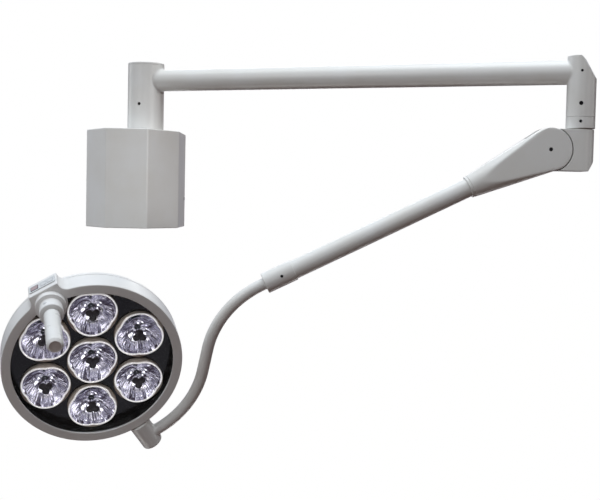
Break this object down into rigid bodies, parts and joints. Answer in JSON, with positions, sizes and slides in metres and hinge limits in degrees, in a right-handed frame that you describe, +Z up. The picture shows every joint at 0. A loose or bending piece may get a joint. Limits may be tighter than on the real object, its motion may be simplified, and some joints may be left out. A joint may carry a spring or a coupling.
{
  "type": "dental operating light",
  "caption": "Wall-mounted dental operating light: box wall unit, swivelling arm, sprung arm, S-shaped yoke and a round lamp head with mirror reflectors and a pull-off handle.",
  "frame": {"origin": "centre of the wall plate's flat back face, on the wall's surface", "axes": "+X to the right along the wall as seen from the room, +Y into the wall, +Z up"},
  "size_m": [1.0758, 0.7111, 0.7617],
  "materials": {
    "painted_white": "semi-gloss powder coat",
    "head_white": "smooth semi-gloss moulding",
    "steel": "bright machined",
    "zinc_plated": "dull zinc plate",
    "black_screw": "blackened",
    "bearing_plastic": "satin",
    "bronze": "machined",
    "black_case": "fine texture",
    "circuit_board": "solder resist",
    "aluminium": "cast, bare",
    "black_face": "gloss black",
    "reflector_chrome": "vacuum-metallised",
    "clear_lens": "clear, polished",
    "keypad_grey": "satin membrane",
    "key_dark": "satin",
    "handle_white": "smooth"
  },
  "bodies": {
    "wall_unit": {"base_spindle": "steel", "cable_gland": "black_case", "cover_screw_left": "steel", "cover_screw_right": "steel", "housing_cover": "painted_white", "power_supply": "black_case", "support_bracket": "zinc_plated", "wall_plate": "zinc_plated"},
    "horizontal_arm": {"arm_tube": "painted_white", "base_stop_screw": "black_screw", "cover_ring": "painted_white", "cover_ring_screw": "black_screw", "elbow_bush": "bearing_plastic", "elbow_head": "painted_white", "elbow_head_screw_lower": "black_screw", "elbow_head_screw_upper": "black_screw", "lower_base_bush": "bearing_plastic", "post_cap": "painted_white", "post_tube": "painted_white", "upper_base_bush": "bearing_plastic"},
    "elbow": {"elbow_block": "painted_white", "elbow_spindle": "steel", "friction_washer_front": "bearing_plastic", "friction_washer_rear": "bearing_plastic", "pivot_pin": "steel"},
    "spring_arm": {"balance_spring": "steel", "front_sleeve": "painted_white", "pivot_screw_front": "black_screw", "pivot_screw_rear": "black_screw", "rear_housing": "painted_white", "sleeve_screw": "black_screw", "spring_stop": "steel", "spring_tube": "painted_white", "yoke_bush": "bearing_plastic"},
    "spring_rod": {"follower_shoe": "bronze", "spring_rod": "steel"},
    "yoke": {"hub": "painted_white", "s_tube": "painted_white", "yoke_spigot": "steel"},
    "lamp_head": {"back_cover": "head_white", "face_plate": "black_face", "front_lens": "clear_lens", "handle_base": "head_white", "head_spindle": "steel", "heat_sink": "aluminium", "keypad_panel": "keypad_grey", "led_board": "circuit_board", "reflector_bottom": "reflector_chrome", "reflector_centre": "reflector_chrome", "reflector_lower_left": "reflector_chrome", "reflector_lower_right": "reflector_chrome", "reflector_top": "reflector_chrome", "reflector_upper_left": "reflector_chrome", "reflector_upper_right": "reflector_chrome", "rim_housing": "head_white"},
    "handle": {"handle": "handle_white"},
    "handle_latch": {"handle_latch": "key_dark"},
    "power_button": {"power_button": "key_dark"},
    "brighter_button": {"brighter_button": "keypad_grey"},
    "dimmer_button": {"dimmer_button": "keypad_grey"}
  },
  "joints": [
    {"name": "base_swivel", "type": "hinge", "parent": "wall_unit", "child": "horizontal_arm", "pos_m": [0.027, -0.135, 0.208], "axis": [0, 0, 1], "range_deg": [-158, 20]},
    {"name": "elbow_swivel", "type": "hinge", "parent": "horizontal_arm", "child": "elbow", "pos_m": [0.87088, -0.45438, 0.0648], "axis": [0, 0, 1], "range_deg": [-5, 310]},
    {"name": "spring_arm_tilt", "type": "hinge", "parent": "elbow", "child": "spring_arm", "pos_m": [0.81172, -0.45655, 0.0648], "axis": [-0.0366, 0.9993, 0], "range_deg": [-18.6, 71.4]},
    {"name": "rod_slide", "type": "slide", "parent": "spring_arm", "child": "spring_rod", "axis": [-0.8951, -0.0328, -0.4446], "range_m": [-0.0095, 0.0027]},
    {"name": "yoke_swivel", "type": "hinge", "parent": "spring_arm", "child": "yoke", "pos_m": [0.29793, -0.47539, -0.19042], "axis": [-0.8951, -0.0328, -0.4446], "range_deg": [-150, 150]},
    {"name": "head_tilt", "type": "hinge", "parent": "yoke", "child": "lamp_head", "pos_m": [-0.01303, -0.4898, -0.3379], "axis": [0.456, 0.4455, -0.7705], "range_deg": [-150, 150]},
    {"name": "handle_pull", "type": "slide", "parent": "lamp_head", "child": "handle", "axis": [0.257, -0.8947, -0.3653], "range_m": [0, 0.11]},
    {"name": "latch_press", "type": "slide", "parent": "lamp_head", "child": "handle_latch", "axis": [0.456, 0.4455, -0.7705], "range_m": [0, 0.0015], "stiffness_N_per_m": 400, "springref_m": -0.001},
    {"name": "power_press", "type": "slide", "parent": "lamp_head", "child": "power_button", "axis": [0.4199, 0.4438, -0.7917], "range_m": [0, 0.0005], "stiffness_N_per_m": 800, "springref_m": -0.0005},
    {"name": "brighter_press", "type": "slide", "parent": "lamp_head", "child": "brighter_button", "axis": [0.4199, 0.4438, -0.7917], "range_m": [0, 0.0005], "stiffness_N_per_m": 800, "springref_m": -0.0005},
    {"name": "dimmer_press", "type": "slide", "parent": "lamp_head", "child": "dimmer_button", "axis": [0.4199, 0.4438, -0.7917], "range_m": [0, 0.0005], "stiffness_N_per_m": 800, "springref_m": -0.0005}
  ],
  "couplings": [
    {"joint": "rod_slide", "follows": "spring_arm_tilt", "m_per_rad": -0.0073}
  ]
}
